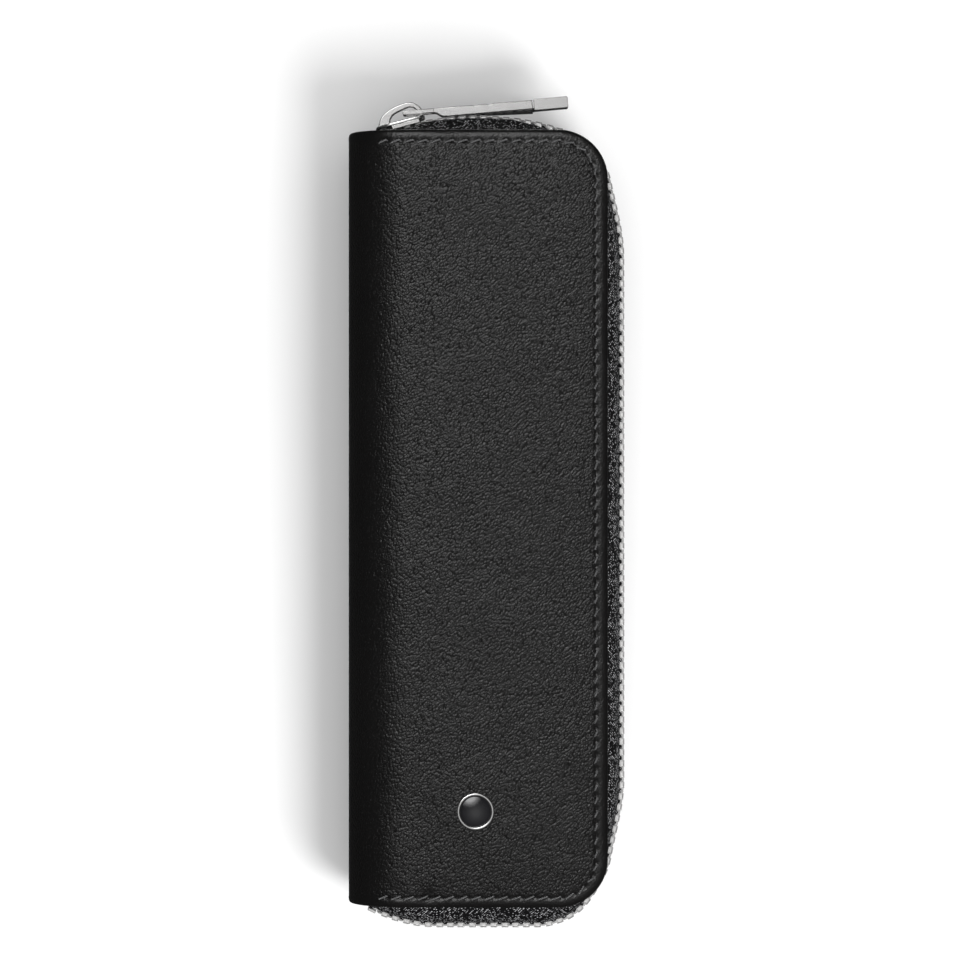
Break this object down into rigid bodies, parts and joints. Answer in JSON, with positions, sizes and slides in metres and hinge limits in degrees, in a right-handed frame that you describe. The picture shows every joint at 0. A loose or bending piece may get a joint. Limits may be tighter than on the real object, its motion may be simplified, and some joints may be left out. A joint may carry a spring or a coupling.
{
  "type": "fountain pen case",
  "caption": "Slim zip-around leather case that lies flat and opens like a book, with pen loops and a pocket inside, a bridge slider, a long pull and a round emblem.",
  "frame": {"origin": "centre of the flat rest face of the back cover, midway along the case and midway across its leather", "axes": "+Z from the back cover to the front cover, +Y along the spine towards the end where the closed zip slider sits, +X from the spine to the opening edge"},
  "size_m": [0.059, 0.1777, 0.0271],
  "materials": {
    "cover_leather": "fine-grained black leather, semi-matte",
    "inner_leather": "smooth black leather",
    "board": "fibre board with thin padding",
    "lining": "woven black textile",
    "thread": "waxed black thread",
    "zip_tape": "twill-woven black tape",
    "zip_teeth": "polished nickel",
    "slider_metal": "polished nickel",
    "emblem_metal": "polished nickel",
    "emblem_lacquer": "glossy black, slightly domed"
  },
  "bodies": {
    "back_half": {"back_cover_leather": "cover_leather", "back_board": "board", "back_lining": "lining", "back_stitches": "thread", "back_zip_tape": "zip_tape", "back_teeth_top_run": "zip_teeth", "back_teeth": "zip_teeth", "back_top_stop": "zip_teeth", "bottom_stop": "zip_teeth", "pen_loop_left": "inner_leather", "pen_loop_right": "inner_leather", "pen_pocket": "inner_leather"},
    "spine": {"spine_leather": "cover_leather", "spine_board": "board", "spine_lining": "lining"},
    "front_half": {"front_cover_leather": "cover_leather", "front_board": "board", "front_lining": "lining", "front_stitches": "thread", "front_zip_tape": "zip_tape", "front_teeth_top_run": "zip_teeth", "front_teeth": "zip_teeth", "front_top_stop": "zip_teeth", "front_slip_pocket": "inner_leather", "emblem_bezel": "emblem_metal", "emblem_inlay": "emblem_lacquer", "emblem_washer": "emblem_metal"},
    "zip_slider": {"slider_body": "slider_metal", "slider_bridge": "slider_metal"},
    "zip_pull": {"pull_bar": "slider_metal", "pull_tip": "slider_metal"}
  },
  "joints": [
    {"name": "spine_fold", "type": "hinge", "parent": "back_half", "child": "spine", "pos_m": [-0.02359, 0, 0.00381], "axis": [0, -1, 0], "range_deg": [0, 90]},
    {"name": "cover_fold", "type": "hinge", "parent": "spine", "child": "front_half", "pos_m": [-0.02359, 0, 0.02219], "axis": [0, -1, 0], "range_deg": [0, 90]},
    {"name": "slider_travel", "type": "hinge", "parent": "back_half", "child": "zip_slider", "pos_m": [0.0003, 0.0243, 0.013], "axis": [0, 0, -1], "range_deg": [0, 20], "deforming": ["back_teeth_top_run", "front_teeth_top_run"]},
    {"name": "pull_swing", "type": "hinge", "parent": "zip_slider", "child": "zip_pull", "pos_m": [-0.01538, 0.08687, 0.013], "axis": [0, 0, 1], "range_deg": [0, 160]}
  ],
  "couplings": [
    {"joint": "spine_fold", "follows": "cover_fold", "ratio": 1}
  ]
}
